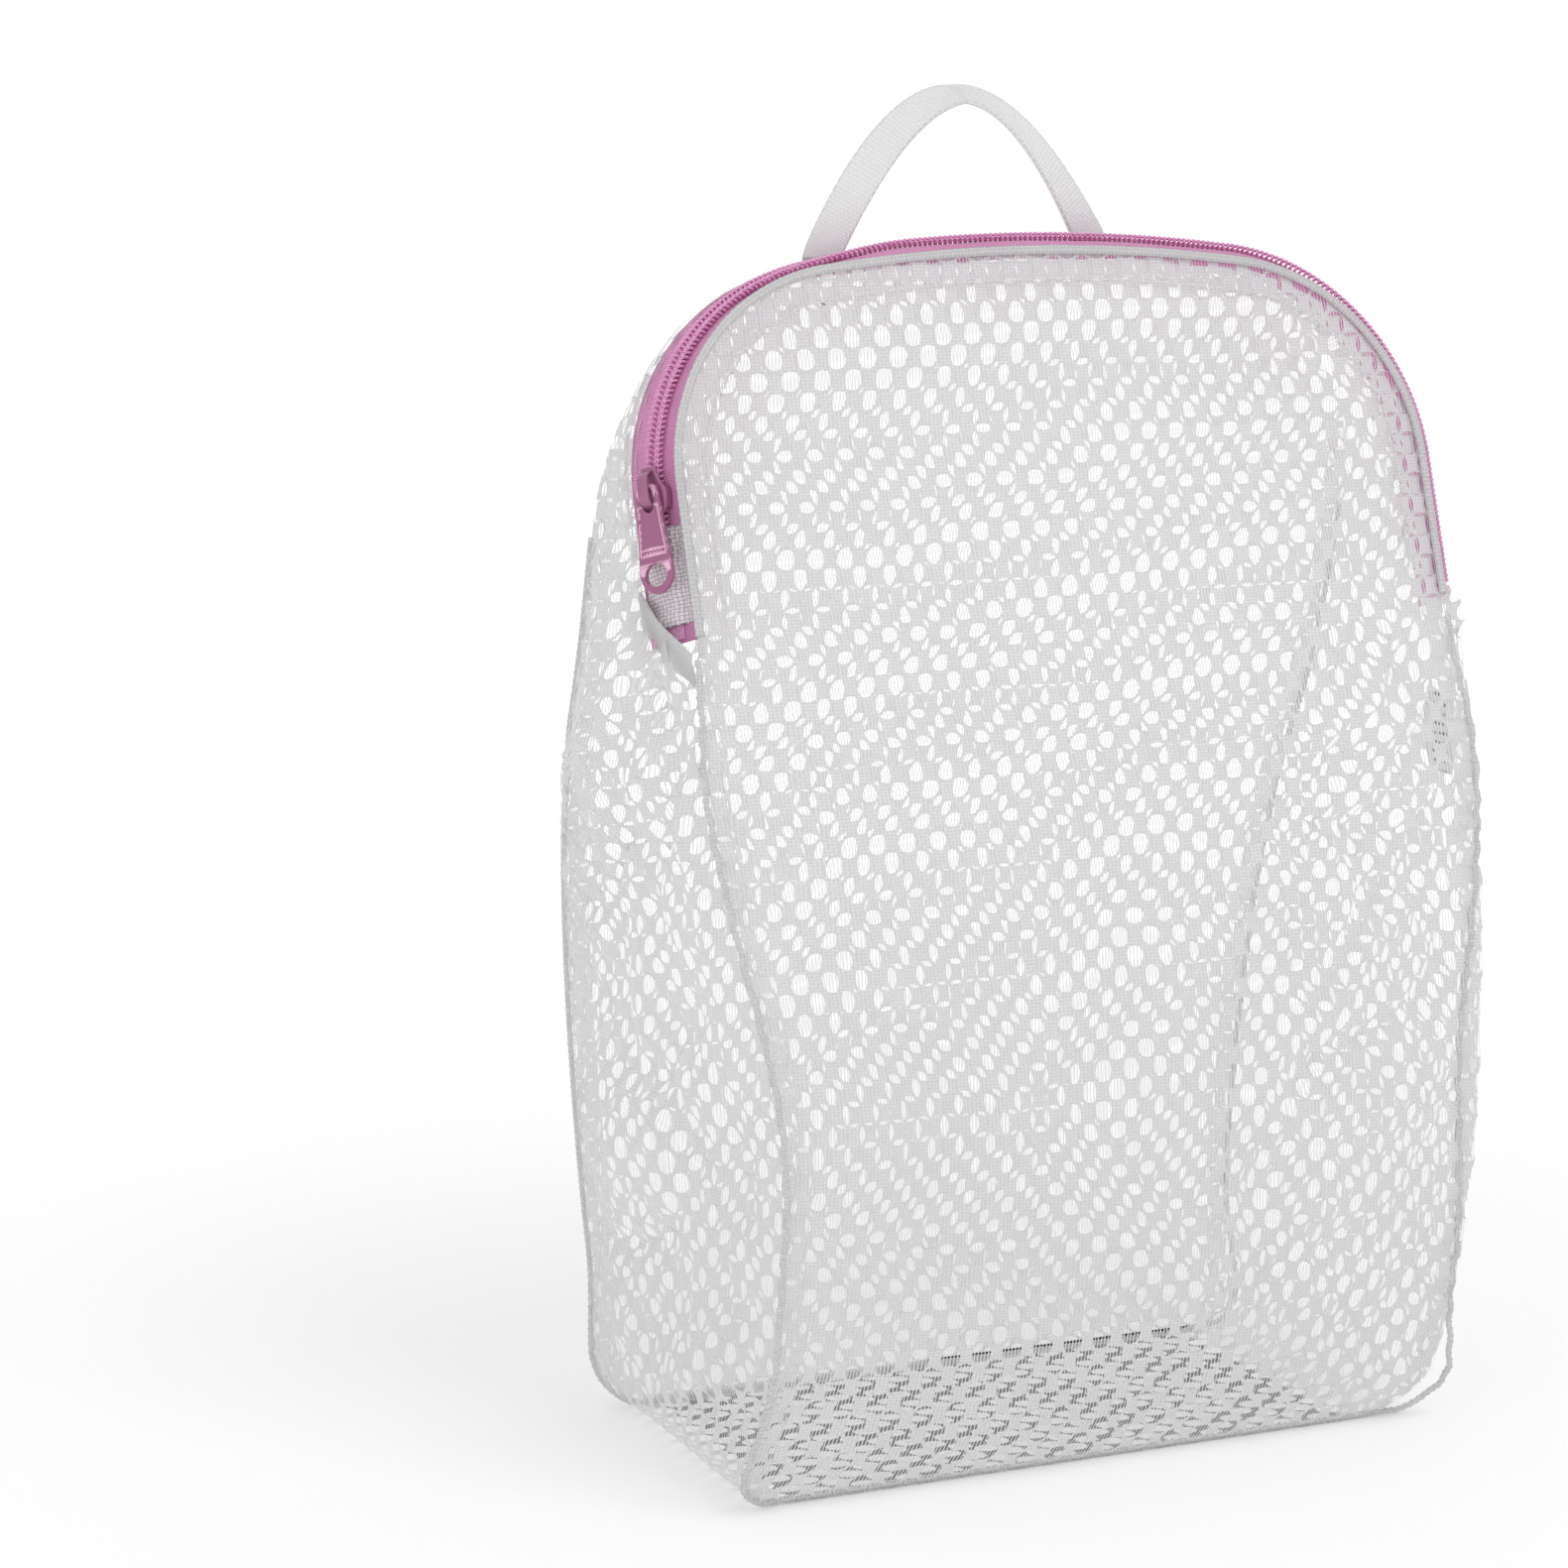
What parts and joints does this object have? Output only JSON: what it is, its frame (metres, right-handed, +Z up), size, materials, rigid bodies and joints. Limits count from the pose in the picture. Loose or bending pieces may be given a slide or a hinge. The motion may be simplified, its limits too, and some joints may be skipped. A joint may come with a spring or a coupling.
{
  "type": "mesh laundry bag",
  "caption": "Upright mesh laundry bag with a zipped arched top, a wraparound side gusset, a webbing carry loop and an elastic guard over the zip end.",
  "frame": {"origin": "middle of the base, on the surface it stands on", "axes": "+Z up, +Y towards the back panel, +X across the bag to the right as seen from the front"},
  "size_m": [0.2407, 0.1304, 0.3639],
  "materials": {
    "net": "white warp-knitted polyester net with oval holes",
    "zip_tape": "orchid pink woven polyester tape",
    "zip_coil": "orchid pink nylon coil, satin",
    "slider_metal": "mauve paint over a zinc casting, satin",
    "elastic": "white woven elastic",
    "webbing": "white plain-woven polyester webbing",
    "thread": "white polyester sewing thread",
    "label": null
  },
  "bodies": {
    "bag": {"gusset_strip": "net", "back_panel": "net", "front_panel_lower": "net", "front_seam_binding": "net", "back_seam_binding": "net", "back_hem": "net", "zip_tape_back": "zip_tape", "zip_coil_back": "zip_coil", "front_hem_left": "net", "front_hem_right": "net", "zip_tape_front_left": "zip_tape", "zip_tape_front_right": "zip_tape", "zip_coil_front_left": "zip_coil", "zip_coil_front_right": "zip_coil", "zip_end_tacks": "thread", "zip_elastic_guard": "elastic", "care_label": "label", "handle_tacks": "thread"},
    "flap": {"front_panel_flap": "net", "front_hem_flap": "net", "zip_tape_front_flap": "zip_tape", "zip_coil_front_flap": "zip_coil"},
    "slider": {"slider_body": "slider_metal"},
    "puller": {"slider_puller": "slider_metal"},
    "handle": {"handle_webbing": "webbing"}
  },
  "joints": [
    {"name": "flap_fold", "type": "hinge", "parent": "bag", "child": "flap", "pos_m": [0, -0.02459, 0.27602], "axis": [1, 0, 0], "range_deg": [0, 120]},
    {"name": "slider_travel", "type": "hinge", "parent": "bag", "child": "slider", "pos_m": [-0.055, -0.01963, 0.26345], "axis": [0, 0.9511, -0.309], "range_deg": [0, 60]},
    {"name": "puller_swing", "type": "hinge", "parent": "slider", "child": "puller", "pos_m": [-0.12065, -0.01963, 0.26345], "axis": [0, 0.9511, -0.309], "range_deg": [0, 170]},
    {"name": "handle_swing", "type": "hinge", "parent": "bag", "child": "handle", "pos_m": [-0.013, 0.01, 0.3213], "axis": [1, 0, 0], "range_deg": [-50, 50]}
  ]
}
